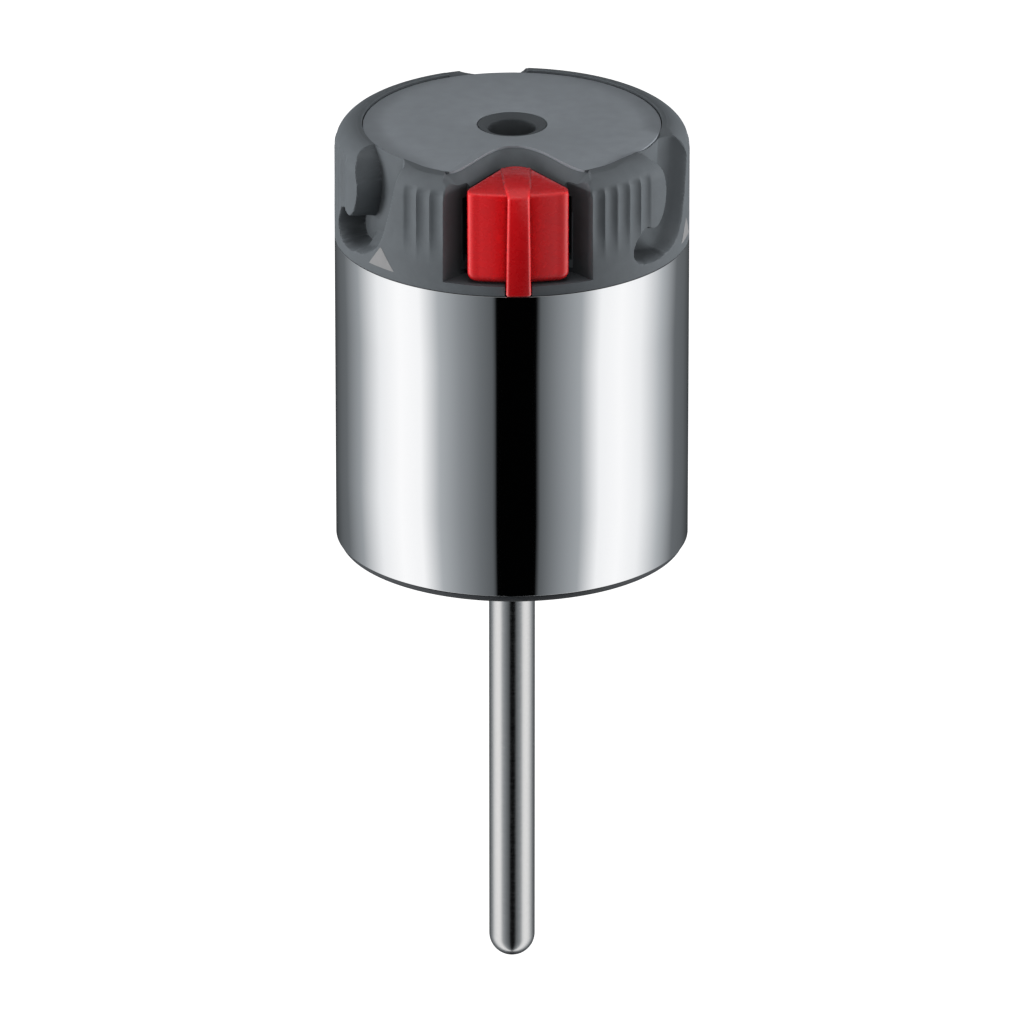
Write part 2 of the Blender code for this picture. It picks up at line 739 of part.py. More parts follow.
def make_cap():
    top = CAP_TOP + RIM_HEIGHT
    seat = DISC_BOTTOM - GAP
    bore = 6.2 * MM
    shoulder = arc((BODY_RADIUS - SHOULDER, top - SHOULDER), (SHOULDER, SHOULDER), 0, 90, 6)
    outline = [
        (CAP_CAVITY, CAP_BOTTOM),
        (BODY_RADIUS - 0.3 * MM, CAP_BOTTOM),
        (BODY_RADIUS, CAP_BOTTOM + 0.3 * MM),
        *shoulder,
        (DISC_RADIUS + GAP, top),
        (DISC_RADIUS + GAP, seat),
        (bore, seat),
        (bore, CAP_CEILING),
        (CAP_CAVITY, CAP_CEILING),
    ]
    cap = turned("turning_cap", outline, cap_plastic(), 60)
    wall_half = POCKET_HALF + 1.5 * MM
    wall = block(
        "pocket_wall",
        (-wall_half, wall_half),
        (-27 * MM, WALL_Y[1]),
        (SHELF[0], CAP_CEILING + 1 * MM),
        cap_plastic(),
    )
    fuse(cap, wall)
    tab_angles = (BACK - STOP_HALF, BACK + STOP_HALF)
    fuse(cap, sector("stop_tab", (22.8 * MM, 24.5 * MM), (CAP_BOTTOM, 59.0 * MM), tab_angles, cap_plastic()))

    beyond = -(BODY_RADIUS + 3 * MM)
    lid = CAP_TOP + 4 * MM
    half = (-POCKET_HALF, POCKET_HALF)
    cut(cap, prism("roof_pocket", pocket_plan(POCKET_MARGIN), 70.7 * MM, lid, cap_plastic()))
    cut(cap, block("plate_pocket", half, (beyond, WALL_Y[0]), (SHELF[1], lid), cap_plastic()))
    foot_height = (POCKET_FLOOR, SHELF[1] + 1 * MM)
    cut(cap, block("foot_pocket", half, (beyond, -24.3 * MM), foot_height, cap_plastic()))
    cut(cap, prism("cove", disc_notch(0), 74.2 * MM, lid, cap_plastic()))
    tail = (-RIB_HALF - 0.35 * MM, RIB_HALF + 0.35 * MM)
    tail_height = (CAP_BOTTOM - 1 * MM, 60 * MM)
    cut(cap, block("tail_slot", tail, (beyond, -26.5 * MM), tail_height, cap_plastic()))
    slot = (-4.7 * MM, 4.7 * MM)
    cut(cap, block("tongue_slot", slot, (-22.4 * MM, -17 * MM), (58 * MM, 63 * MM), cap_plastic()))
    for side in (-1, 1):
        x = PIN_OFFSET * side
        start, end = (x, -22 * MM, PIN_HEIGHT), (x, -18 * MM, PIN_HEIGHT)
        cut(cap, rod(f"pin_hole_{side}", 1.4 * MM, start, end, cap_plastic()))
    hole = [
        (0, 67 * MM),
        (1.4 * MM, 67 * MM),
        (1.4 * MM, 71.8 * MM),
        (2.7 * MM, 71.8 * MM),
        (2.7 * MM, 76 * MM),
        (0, 76 * MM),
    ]
    for number, angle in enumerate(POST_ANGLES, 1):
        cut(cap, turned(f"cap_screw_hole_{number}", hole, cap_plastic(), 16, polar(BOSS_CIRCLE, angle)))
    for number, turn in enumerate(THIRDS, 1):
        cut(cap, scoop_cutter(f"scoop_{number}", turn))
    for number, turn in enumerate(THIRDS[1:], 1):
        dip = (FRONT + turn - math.radians(64), FRONT + turn - math.radians(35))
        dip_height = (top - RIM_DIP, lid)
        cut(cap, sector(f"rim_dip_{number}", (25.7 * MM, 31 * MM), dip_height, dip, cap_plastic(), 4))
    seat_depth = (29.9 * MM, 31.5 * MM)
    for number, angle in enumerate(INDEX_ANGLES, 1):
        cut(cap, index_triangle(f"mark_seat_{number}", angle, 0.12 * MM, seat_depth, cap_plastic()))


def index_triangle(name, angle, margin, radii, finish):
    """A small triangle, point up, with its faces on two cylinders."""
    half = 3.0 * MM + 1.6 * margin
    bottom = CAP_BOTTOM + 1.6 * MM - margin
    top = CAP_BOTTOM + 5.2 * MM + 2 * margin

    def maker(bm):
        rows = []
        for radius in radii:
            spread = half / BODY_RADIUS
            row = [(-spread, bottom), (0, bottom), (spread, bottom), (0, top)]
            corners = [(*polar(radius, FRONT + angle + extra), height) for extra, height in row]
            rows.append([bm.verts.new(corner) for corner in corners])
        for row in rows:
            bm.faces.new((row[0], row[1], row[3]))
            bm.faces.new((row[1], row[2], row[3]))
        for corner in range(4):
            following = (corner + 1) % 4
            bm.faces.new((rows[0][corner], rows[0][following], rows[1][following], rows[1][corner]))

    return build(name, maker, finish)


def make_top():
    disc = [(6.1 * MM, DISC_BOTTOM), (DISC_RADIUS, DISC_BOTTOM), (DISC_RADIUS, CAP_TOP), (6.1 * MM, CAP_TOP)]
    top_disc = turned("top_disc", disc, disc_plastic(), 48)
    cut(top_disc, prism("notch", disc_notch(GAP), 70 * MM, 80 * MM, disc_plastic()))
    collar = [
        (5.9 * MM, 67.2 * MM),
        (5.9 * MM, CAP_TOP),
        (4.15 * MM, CAP_TOP - 0.65 * MM),
        (4.15 * MM, 67.2 * MM),
    ]
    turned("bore_collar", collar, cap_plastic(), 32)
    for number, angle in enumerate(INDEX_ANGLES, 1):
        index_triangle(f"index_mark_{number}", angle, 0, (30.1 * MM, 30.5 * MM), mark_plastic())


def make_latch():
    """The red press piece: a curved front plate, a pointed roof, a pointer rib and the tongue behind it."""
    steps = 8
    face = []
    for step in range(steps + 1):
        x = -LATCH_HALF + 2 * LATCH_HALF * step / steps
        face.append((x, -math.sqrt(LATCH_FRONT**2 - x**2)))
    plate = [*face, (LATCH_HALF, -LATCH_BACK), (-LATCH_HALF, -LATCH_BACK)]
    latch = prism("latch", plate, LATCH_BOTTOM, LATCH_ROOF, latch_plastic())
    roof = [
        (-LATCH_HALF, -28 * MM),
        (LATCH_HALF, -28 * MM),
        (LATCH_HALF, -LATCH_BACK),
        (1.5 * MM, -LATCH_APEX),
        (-1.5 * MM, -LATCH_APEX),
        (-LATCH_HALF, -LATCH_BACK),
    ]
    fuse(latch, prism("roof", roof, 71.6 * MM, LATCH_ROOF, latch_plastic()))
    rib = (-RIB_HALF, RIB_HALF)
    rib_y = (-RIB_FRONT, -28.5 * MM)
    fuse(latch, block("pointer", rib, rib_y, (CAP_BOTTOM + GAP, LATCH_ROOF - 0.3 * MM), latch_plastic()))
    for side in (-1, 1):
        x_range = sorted((side * (LATCH_HALF - 1.4 * MM), side * LATCH_HALF))
        cheek = block(f"cheek_{side}", x_range, (-27 * MM, -22.5 * MM), (61 * MM, 72 * MM), latch_plastic())
        fuse(latch, cheek)
    tongue = (-3.8 * MM, 3.8 * MM)
    fuse(latch, block("tongue", tongue, (-27 * MM, LEG_Y[1]), TONGUE, latch_plastic()))
    fuse(latch, block("leg", tongue, LEG_Y, (57.4 * MM, TONGUE[1] - 0.4 * MM), latch_plastic()))
    for side in (-1, 1):
        x = PIN_OFFSET * side
        start, end = (x, -28.8 * MM, PIN_HEIGHT), (x, -25 * MM, PIN_HEIGHT)
        cut(latch, rod(f"guide_bore_{side}", 1.6 * MM, start, end, latch_plastic()))
    block("brake_pad", (-3 * MM, 3 * MM), (-21.2 * MM, -20.4 * MM), (57.4 * MM, 60.8 * MM), rubber())
    start = (0, -25.7 * MM, PIN_HEIGHT)
    end = (0, WALL_Y[0] - 0.5 * MM, PIN_HEIGHT)
    coil("latch_spring", 0.25 * MM, 2.0 * MM, 5, start, end, bright_steel(), 10, 4)
    for name, side in (("guide_pin_left", -1), ("guide_pin_right", 1)):
        x = PIN_OFFSET * side
        tip, seat, end = [(x, y * MM, PIN_HEIGHT) for y in (-26.9, -18.8, -18.0)]
        inside_head = (x, -18.4 * MM, PIN_HEIGHT)
        head = rod(name, 2.1 * MM, seat, end, bright_steel(), 16)
        fuse(head, rod(f"{name}_shank", 1.2 * MM, tip, inside_head, bright_steel()))


def main():
    clear_scene()
    make_sleeve()
    make_base()
    make_probe()
    make_probe_nut()
    make_chassis()
    make_power_supply()
    make_main_board()
    make_buzzer()
    make_bearing()
    make_drum()
    make_hub()
    make_cap()
    make_top()
    make_latch()


main()
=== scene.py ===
"""The looks of a probe thermometer head: chrome body, turning cap, red press latch and a long steel probe.

Lengths are in metres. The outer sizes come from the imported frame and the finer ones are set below.
The front is -Y. Angles round the body are in degrees from the front, positive towards +X.
"""

import json
import math

import bmesh
import bpy
import numpy as np
from mathutils import Matrix, Vector


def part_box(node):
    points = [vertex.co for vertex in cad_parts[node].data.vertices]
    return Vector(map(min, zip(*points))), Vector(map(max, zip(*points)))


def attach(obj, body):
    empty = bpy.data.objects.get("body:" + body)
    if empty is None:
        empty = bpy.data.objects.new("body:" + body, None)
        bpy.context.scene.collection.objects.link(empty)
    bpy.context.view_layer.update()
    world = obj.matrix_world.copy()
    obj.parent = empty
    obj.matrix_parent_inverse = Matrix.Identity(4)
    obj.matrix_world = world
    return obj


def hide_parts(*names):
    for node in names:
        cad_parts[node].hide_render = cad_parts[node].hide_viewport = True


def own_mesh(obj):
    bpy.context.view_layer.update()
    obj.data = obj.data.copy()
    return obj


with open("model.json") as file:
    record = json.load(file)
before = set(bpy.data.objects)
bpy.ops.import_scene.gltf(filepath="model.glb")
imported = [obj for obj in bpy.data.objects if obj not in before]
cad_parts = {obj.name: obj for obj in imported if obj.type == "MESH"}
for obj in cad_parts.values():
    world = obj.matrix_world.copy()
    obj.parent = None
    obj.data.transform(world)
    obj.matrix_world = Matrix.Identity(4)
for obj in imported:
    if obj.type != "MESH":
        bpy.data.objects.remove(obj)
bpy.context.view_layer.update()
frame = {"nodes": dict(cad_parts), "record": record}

MM = 0.001
COLUMNS = 900
THIRD = 120

# The body and the cap, from the frame
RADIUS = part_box("body_sleeve")[1][0]
SLEEVE = (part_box("body_sleeve")[0][2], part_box("body_sleeve")[1][2])
CAP_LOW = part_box("turning_cap")[0][2]
CAP_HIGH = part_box("turning_cap")[1][2]
DISC = (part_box("top_disc")[0][2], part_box("top_disc")[1][2])
DISC_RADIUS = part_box("top_disc")[1][0]
COLLAR_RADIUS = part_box("bore_collar")[1][0]
COLLAR = (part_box("bore_collar")[0][2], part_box("bore_collar")[1][2])
PROBE_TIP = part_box("probe_tube")[0][2]
PROBE_RADIUS = 4.0 * MM
LATCH = (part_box("latch")[0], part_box("latch")[1])

# The cap's shape
SHOULDER = 4.4 * MM
GROOVE = 0.3 * MM
CAVITY = 24.0 * MM
CEILING = 68.2 * MM
SCOOP_DEPTH = 5.8 * MM
FLUTE_PITCH = 4.9
FLUTE_DEPTH = 0.42 * MM

# The pocket and the latch in it
LATCH_HALF = LATCH[1][0]
LATCH_FRONT = 29.7 * MM
LATCH_BACK = 26.2 * MM
LATCH_APEX = 15.3 * MM
LATCH_BOTTOM = 58.5 * MM
ROOF = 74.6 * MM
POCKET_HALF = 9.3 * MM
POCKET_FLOOR = 58.3 * MM
SHELF = 60.6 * MM
WALL_Y = -20.6 * MM
MOUTH_HALF = 12.7 * MM
RIB_HALF = 2.0 * MM
PIN_X = 5.5 * MM
PIN_Z = 66.0 * MM


# ---------------------------------------------------------------- materials


def new_material(name):
    found = bpy.data.materials.new(name)
    found.use_nodes = True
    return found, found.node_tree.nodes, found.node_tree.links, found.node_tree.nodes["Principled BSDF"]


def add_noise(nodes, links, scale, stretch=(1, 1, 1), detail=3.0):
    """A noise in the piece's own coordinates, in metres. Returns its output."""
    place = nodes.new("ShaderNodeTexCoord")
    squeeze = nodes.new("ShaderNodeMapping")
    squeeze.inputs["Scale"].default_value = stretch
    noise = nodes.new("ShaderNodeTexNoise")
    noise.inputs["Scale"].default_value = scale
    noise.inputs["Detail"].default_value = detail
    links.new(place.outputs["Object"], squeeze.inputs["Vector"])
    links.new(squeeze.outputs["Vector"], noise.inputs["Vector"])
    return noise.outputs["Fac"]


def add_bump(nodes, links, shader, height, distance, strength=1.0):
    bump = nodes.new("ShaderNodeBump")
    bump.inputs["Distance"].default_value = distance
    bump.inputs["Strength"].default_value = strength
    links.new(height, bump.inputs["Height"])
    links.new(bump.outputs["Normal"], shader.inputs["Normal"])


def add_range(nodes, links, source, low, high):
    """Maps a noise to a range of one number."""
    spread = nodes.new("ShaderNodeMapRange")
    spread.inputs["From Min"].default_value = 0.3
    spread.inputs["From Max"].default_value = 0.7
    spread.inputs["To Min"].default_value = low
    spread.inputs["To Max"].default_value = high
    links.new(source, spread.inputs["Value"])
    return spread.outputs["Result"]


def add_tint(nodes, links, shader, source, color, change):
    """Lets the base colour wander a little round one colour."""
    ramp = nodes.new("ShaderNodeValToRGB")
    ramp.color_ramp.elements[0].position = 0.3
    ramp.color_ramp.elements[1].position = 0.7
    ramp.color_ramp.elements[0].color = (*[part * (1 - change) for part in color], 1)
    ramp.color_ramp.elements[1].color = (*[part * (1 + change) for part in color], 1)
    links.new(source, ramp.inputs["Fac"])
    links.new(ramp.outputs["Color"], shader.inputs["Base Color"])


def add_hollow_shade(nodes, links, shader, darkest):
    """Darkens the base colour in deep narrow hollows, which soft light hardly reaches."""
    source = shader.inputs["Base Color"].links[0].from_socket
    # Painted shade: ambient occlusion darkens the base colour in deep hollows.
    hollow = nodes.new("ShaderNodeAmbientOcclusion")
    hollow.inputs["Distance"].default_value = 6 * MM
    hollow.samples = 16
    spread = nodes.new("ShaderNodeMapRange")
    spread.inputs["From Min"].default_value = 0.35
    spread.inputs["From Max"].default_value = 0.9
    spread.inputs["To Min"].default_value = darkest
    links.new(hollow.outputs["AO"], spread.inputs["Value"])
    mix = nodes.new("ShaderNodeMix")
    mix.data_type = "RGBA"
    mix.blend_type = "MULTIPLY"
    mix.inputs["Factor"].default_value = 1
    links.new(source, mix.inputs["A"])
    links.new(spread.outputs["Result"], mix.inputs["B"])
    links.new(mix.outputs["Result"], shader.inputs["Base Color"])


def moulded(name, color, roughness, grain=5200, depth=0.012 * MM, change=0.05, specular=0.5, darkest=1):
    """Moulded plastic with a fine spark-eroded texture."""
    found, nodes, links, shader = new_material(name)
    fine = add_noise(nodes, links, grain, detail=2.0)
    broad = add_noise(nodes, links, 420, detail=3.0)
    add_tint(nodes, links, shader, broad, color, change)
    # Painted shade in the hollows when darkest is below 1.
    if darkest < 1:
        add_hollow_shade(nodes, links, shader, darkest)
    links.new(add_range(nodes, links, broad, roughness - 0.03, roughness + 0.03), shader.inputs["Roughness"])
    shader.inputs["Specular IOR Level"].default_value = specular
    add_bump(nodes, links, shader, fine, depth)
    return found


def polished(name, color, roughness):
    """Chrome plating: a mirror with faint wipe marks along the body."""
    found, nodes, links, shader = new_material(name)
    wipe = add_noise(nodes, links, 90, stretch=(1, 1, 0.12), detail=4.0)
    add_tint(nodes, links, shader, wipe, color, 0.012)
    links.new(add_range(nodes, links, wipe, roughness * 0.8, roughness * 1.25), shader.inputs["Roughness"])
    shader.inputs["Metallic"].default_value = 1
    return found


def ground(name, color, roughness, stretch, scale=900, depth=0.004 * MM):
    """Ground or drawn metal, its fine lines across the stretched direction."""
    found, nodes, links, shader = new_material(name)
    lines = add_noise(nodes, links, scale, stretch=stretch, detail=5.0)
    add_tint(nodes, links, shader, lines, color, 0.05)
    links.new(add_range(nodes, links, lines, roughness - 0.05, roughness + 0.06), shader.inputs["Roughness"])
    shader.inputs["Metallic"].default_value = 1
    add_bump(nodes, links, shader, lines, depth)
    return found


def glossy(name, color, roughness, darkest=1):
    """Polished moulded plastic with a very slight orange peel."""
    found, nodes, links, shader = new_material(name)
    peel = add_noise(nodes, links, 650, detail=2.0)
    add_tint(nodes, links, shader, peel, color, 0.03)
    # Painted shade in the hollows when darkest is below 1.
    if darkest < 1:
        add_hollow_shade(nodes, links, shader, darkest)
    links.new(add_range(nodes, links, peel, roughness * 0.85, roughness * 1.15), shader.inputs["Roughness"])
    shader.inputs["Specular IOR Level"].default_value = 0.9
    shader.inputs["Coat Weight"].default_value = 0.8
    shader.inputs["Coat Roughness"].default_value = 0.12
    add_bump(nodes, links, shader, peel, 0.004 * MM)
    return found


MATERIALS = {
    "chrome": polished("chrome_plate", (0.86, 0.87, 0.885), 0.045),
    "base_plastic": moulded("base_moulding", (0.05, 0.054, 0.06), 0.5),
    "probe_steel": ground("probe_steel", (0.66, 0.66, 0.66), 0.2, (1, 1, 9)),
    # The cap and the latch get painted shade in their hollows, set by darkest.
    "cap_plastic": moulded("cap_moulding", (0.118, 0.131, 0.142), 0.46, specular=0.25, darkest=0.42),
    "bush_plastic": moulded("bush_moulding", (0.075, 0.083, 0.09), 0.5, specular=0.2),
    "disc_plastic": moulded("disc_moulding", (0.28, 0.306, 0.334), 0.5, specular=0.25),
    "latch_plastic": glossy("latch_gloss", (0.88, 0.009, 0.014), 0.27, darkest=0.3),
    "mark_plastic": moulded("mark_print", (0.265, 0.265, 0.27), 0.5, grain=3000),
    "rubber": moulded("seal_rubber", (0.02, 0.02, 0.02), 0.75),
    "chassis_plastic": moulded("chassis_moulding", (0.72, 0.72, 0.69), 0.5),
    "bearing_plastic": moulded("bearing_moulding", (0.82, 0.80, 0.74), 0.4),
    "board": moulded("board_mask", (0.02, 0.16, 0.07), 0.4, change=0.15),
    "chip_plastic": moulded("chip_moulding", (0.02, 0.02, 0.02), 0.45),
    "bright_steel": ground("bright_steel", (0.55, 0.55, 0.55), 0.28, (1, 1, 6)),
    "brass": ground("turned_brass", (0.72, 0.53, 0.25), 0.28, (1, 1, 6)),
    "ceramic": moulded("fired_ceramic", (0.75, 0.72, 0.66), 0.3),
    "cell_jacket": glossy("cell_jacket", (0.10, 0.13, 0.17), 0.3),
    "black_wire": moulded("black_insulation", (0.02, 0.02, 0.02), 0.5),
    "red_wire": moulded("red_insulation", (0.6, 0.02, 0.02), 0.5),
    "magnet": ground("sintered_magnet", (0.12, 0.12, 0.13), 0.45, (1, 1, 1)),
}


# ---------------------------------------------------------------- mesh helpers


def make_piece(name, mesh, slot, body, *nodes, sharp=32, finish=None):
    """A finished piece: its material, its body and the CAD nodes that it stands for."""
    mesh.materials.clear()
    mesh.materials.append(MATERIALS[finish or slot])
    mesh.shade_smooth()
    mesh.set_sharp_from_angle(angle=math.radians(sharp))
    piece = bpy.data.objects.new(name, mesh)
    bpy.context.scene.collection.objects.link(piece)
    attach(piece, body)
    if nodes:
        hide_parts(*nodes)
    return piece


def ring_faces(rows, columns, closed_rows):
    """Quads of a grid that is closed round its columns, and round its rows if asked."""
    faces = []
    for row in range(rows if closed_rows else rows - 1):
        following = (row + 1) % rows
        for column in range(columns):
            beside = (column + 1) % columns
            faces.append((row * columns + column, row * columns + beside, following * columns + beside,
                          following * columns + column))
    return faces


def grid_mesh(name, points, closed_rows=True):
    """A mesh of a (rows, columns, 3) grid closed round its columns. Open rows get flat ends."""
    rows, columns = points.shape[:2]
    faces = ring_faces(rows, columns, closed_rows)
    if not closed_rows:
        faces.append(tuple(range(columns - 1, -1, -1)))
        faces.append(tuple((rows - 1) * columns + column for column in range(columns)))
    mesh = bpy.data.meshes.new(name)
    mesh.from_pydata(points.reshape(-1, 3).tolist(), [], faces)
    bm = bmesh.new()
    bm.from_mesh(mesh)
    bmesh.ops.remove_doubles(bm, verts=bm.verts, dist=1e-7)
    bmesh.ops.recalc_face_normals(bm, faces=bm.faces)
    bm.to_mesh(mesh)
    bm.free()
    return mesh


def lathe(name, outline, columns=256, closed=True):
    """A turned body from an outline of (radius, height)."""
    angle = np.linspace(0, 2 * np.pi, columns, endpoint=False)
    radius, height = np.array(outline).T
    across, forth = radius[:, None] * np.cos(angle), radius[:, None] * np.sin(angle)
    points = np.stack([across, forth, np.repeat(height[:, None], columns, 1)], axis=-1)
    return grid_mesh(name, points, closed)


def arc(centre, radius, start, end, steps):
    """Points on a circle's arc in an outline, angles in degrees."""
    angles = np.radians(np.linspace(start, end, steps + 1))
    return [(centre[0] + radius * math.cos(a), centre[1] + radius * math.sin(a)) for a in angles]


def loft(name, outlines, heights):
    """A closed body through outlines of (x, y) with the same number of points, one at each height."""
    rows = [[(x, y, height) for x, y in outline] for outline, height in zip(outlines, heights)]
    return grid_mesh(name, np.array(rows), closed_rows=False)


def box_mesh(name, x_range, y_range, z_range):
    left, right = x_range
    front, back = y_range
    outline = [(left, front), (right, front), (right, back), (left, back)]
    return loft(name, [outline, outline], z_range)


def smooth_path(points, steps=6):
    """A Catmull-Rom curve through the points."""
    points = np.array(points, float)
    padded = np.vstack([2 * points[0] - points[1], points, 2 * points[-1] - points[-2]])
    found = []
    for index in range(1, len(padded) - 2):
        before, start, end, after = padded[index - 1:index + 3]
        for share in np.linspace(0, 1, steps, endpoint=False):
            found.append(0.5 * (2 * start + (end - before) * share
                                + (2 * before - 5 * start + 4 * end - after) * share**2
                                + (3 * start - before - 3 * end + after) * share**3))
    return np.vstack([found, points[-1]])


def as_object(mesh):
    """A helper that is used up by a Boolean."""
    helper = bpy.data.objects.new(mesh.name, mesh)
    bpy.context.scene.collection.objects.link(helper)
    return helper


def combined(base, changes):
    """The base mesh after Booleans: changes is a list of (operation, mesh)."""
    work = as_object(base)
    helpers = []
    for operation, mesh in changes:
        helper = as_object(mesh)
        change = work.modifiers.new(mesh.name, "BOOLEAN")
        change.operation = operation
        change.solver = "EXACT"
        change.object = helper
        helpers.append(helper)
    graph = bpy.context.evaluated_depsgraph_get()
    result = bpy.data.meshes.new_from_object(work.evaluated_get(graph))
    for helper in helpers + [work]:
        bpy.data.objects.remove(helper, do_unlink=True)
    return result


def smooth_step(value):
    value = np.clip(value, 0, 1)
    return value * value * (3 - 2 * value)


# ---------------------------------------------------------------- the turning cap


# A scoop's edges are in degrees from the pad's middle and mm above the cap's lower edge.
# The steep one goes from the rim down round the hook
STEEP_EDGE = [
    (50.5, 22), (52.5, 19.6), (55.3, 18), (56.8, 16), (57.6, 13.8), (57.2, 11.8), (56, 10),
    (54.2, 8.7), (52, 8.0), (49.6, 8.1), (47.3, 8.5), (44.9, 8.2), (42.6, 7.0), (41.1, 5.6),
    (40.7, 4.5), (41.6, 3.3), (43.8, 2.4), (47, 1.95), (52, 1.8), (57, 1.95),
]
# The shallow one goes from the bottom back up to the rim
SHALLOW_EDGE = [
    (57, 1.95), (61, 2.3), (64.5, 3.1), (67.8, 4.3), (70.2, 5.8),
    (72.2, 8), (74, 10.8), (75.8, 14), (77.2, 17), (79, 22),
]


def distance_to(path, x, y):
    """The least distance from each (x, y) to a path."""
    least = np.full(x.shape, 1e9)
    for (x0, y0), (x1, y1) in zip(path, path[1:]):
        dx, dy = x1 - x0, y1 - y0
        share = np.clip(((x - x0) * dx + (y - y0) * dy) / (dx * dx + dy * dy + 1e-12), 0, 1)
        least = np.minimum(least, np.hypot(x - x0 - share * dx, y - y0 - share * dy))
    return least


def inside(path, x, y):
    """Whether each (x, y) is inside a closed path."""
    found = np.zeros(x.shape, bool)
    for (x0, y0), (x1, y1) in zip(path, np.vstack([path[1:], path[:1]])):
        crosses = (y0 > y) != (y1 > y)
        found ^= crosses & (x < (x1 - x0) * (y - y0) / (y1 - y0 + 1e-12) + x0)
    return found


def scoop_depth(degrees, height):
    """How far the finger scoops cut into the side, for angles from the front and mm above the cap's edge."""
    local = (degrees - 5) % THIRD + 5
    to_mm = math.radians(1) * RADIUS / MM
    steep = smooth_path([(angle * to_mm, level) for angle, level in STEEP_EDGE])
    shallow = smooth_path([(angle * to_mm, level) for angle, level in SHALLOW_EDGE])
    x = local * to_mm
    near = distance_to(steep, x, height)
    far = distance_to(shallow, x, height)
    within = inside(np.vstack([steep, shallow[1:]]), x, height)
    wall = smooth_step(near / 0.9)
    floor = np.sqrt(np.clip(1 - (1 - np.clip(far / 8.0, 0, 1)) ** 2, 0, 1))
    soft = smooth_step(far / 1.0)
    return np.where(within, SCOOP_DEPTH * wall * floor * soft, 0)


def flute_depth(degrees, height):
    """Shallow concave flutes between sharp ridges, which fade out downwards."""
    local = (degrees + 60) % THIRD - 60
    first = -39.3
    last = 51.0
    turn = (local - first) / FLUTE_PITCH
    groove = 1 - (2 * (turn - np.floor(turn)) - 1) ** 2
    where = (local > first) & (local < first + FLUTE_PITCH * round((last - first) / FLUTE_PITCH))
    fade = smooth_step((height - 4.0) / 8.0) * smooth_step((18.3 - height) / 1.2)
    return np.where(where, FLUTE_DEPTH * groove * fade, 0)


def shoulder_radius(height):
    """The cap's round shoulder in profile: the radius at a height above the cap's edge, in mm."""
    top = (CAP_HIGH - CAP_LOW) / MM
    size = SHOULDER / MM
    over = np.clip((height - (top - size)) / size, 0, 1)
    return RADIUS - SHOULDER + SHOULDER * np.sqrt(np.clip(1 - over**2, 0, 1))


def rim_dip(degrees):
    """How far the rim drops in its two rear notches, and in front, where it meets the disc flush."""
    depth = 0.55 * MM
    dip = 0.36 * MM * smooth_step((46 - np.abs(degrees)) / 12)
    middle, half = -52.6, 15.6
    for turn, soft in ((1, 9.0), (2, 0.6)):
        local = (degrees - THIRD * turn + 180) % 360 - 180
        dip = np.maximum(dip, depth * smooth_step((half - np.abs(local - middle)) / soft))
    return dip


def bell(reach, foot, steps=24):
    """The wave-shaped bite in the top disc: a list of points from left to right, reach at its middle."""
    outer = DISC_RADIUS + 0.4 * MM
    found = []
    for step in range(-steps, steps + 1):
        share = abs(step) / steps
        y = -(reach + (outer - 2.9 * MM - reach) * (0.5 - 0.5 * math.cos(math.pi * share**1.15)))
        found.append((foot * step / steps, y))
    return found


def roof_outline(half, corner, apex, wide, soft):
    """The latch roof's plan from left to right: two straight flanks into a broad round point.

    The flanks start at (half, corner), wide is where they meet the round point, and soft rounds the corners.
    """
    flank = math.atan2(apex - corner, half - wide)
    for _ in range(12):
        radius = wide / math.sin(flank)
        drop = radius * (1 - math.cos(flank))
        flank = math.atan2(apex - drop - corner, half - wide)
    turns = np.linspace(flank, -flank, 13)
    point = [(radius * math.sin(turn), apex - radius * (1 - math.cos(turn))) for turn in turns]
    cut = soft * math.tan((math.pi / 2 - flank) / 2)
    middle = (half - soft, corner - cut)
    shoulder = [(middle[0] + soft * math.cos(turn), middle[1] + soft * math.sin(turn))
                for turn in np.linspace(0, math.pi / 2 - flank, 6)]
    right = shoulder + point[:7]
    return [(-x, y) for x, y in right] + right[::-1][1:]


def bulged(outline, by):
    """A plan outline moved outwards, square to itself."""
    points = np.array(outline)
    along = np.gradient(points, axis=0)
    along /= np.linalg.norm(along, axis=1)[:, None]
    return [tuple(point) for point in points + by * np.stack([-along[:, 1], along[:, 0]], axis=1)]


def with_front(outline, half):
    beyond = -(RADIUS + 4 * MM)
    return outline + [(half, beyond), (-half, beyond)]


LATCH_PLAN = roof_outline(LATCH_HALF, -LATCH_BACK, -LATCH_APEX, 2.8 * MM, 1.0 * MM)
POCKET_PLAN = roof_outline(POCKET_HALF, -25.2 * MM, -LATCH_APEX + 1.7 * MM, 3.2 * MM, 2.0 * MM)
BITE_PLAN = bell(10.7 * MM, 12.2 * MM)


def cove_height(x, y):
    """The height of the cove that climbs from the pocket's edge to the disc's bite, and 1 outside it."""
    beyond = -(RADIUS + 6 * MM)
    inner = [(-POCKET_HALF, beyond)] + POCKET_PLAN + [(POCKET_HALF, beyond)]
    spread = MOUTH_HALF + 0.5 * MM
    outer = [(-spread, beyond)] + BITE_PLAN + [(spread, beyond)]
    near = distance_to(inner, x, y)
    far = distance_to(outer, x, y)
    share = np.where(inside(np.array(inner), x, y), 0, near / (near + far + 1e-9))
    low = ROOF - 0.9 * MM
    height = low + (DISC[1] - low) * share**0.9
    return np.where(inside(np.array(outer), x, y), height, 1.0)


def soft_least(first, second, width):
    """The smaller of two, with a round change between them."""
    near = np.clip(0.5 + 0.5 * (second - first) / width, 0, 1)
    return second + (first - second) * near - width * near * (1 - near)


def mouth_radius(degrees):
    """Where the slopes beside the pocket cut the cap's side, as a radius for each angle."""
    turn = np.radians(np.abs(degrees))
    steep = 1.15
    edge = math.sqrt(RADIUS**2 - MOUTH_HALF**2)
    slope = np.maximum(np.cos(turn) - steep * np.sin(turn), 0.05)
    return np.clip((edge - steep * MOUTH_HALF) / slope, 0.8 * RADIUS, 1)


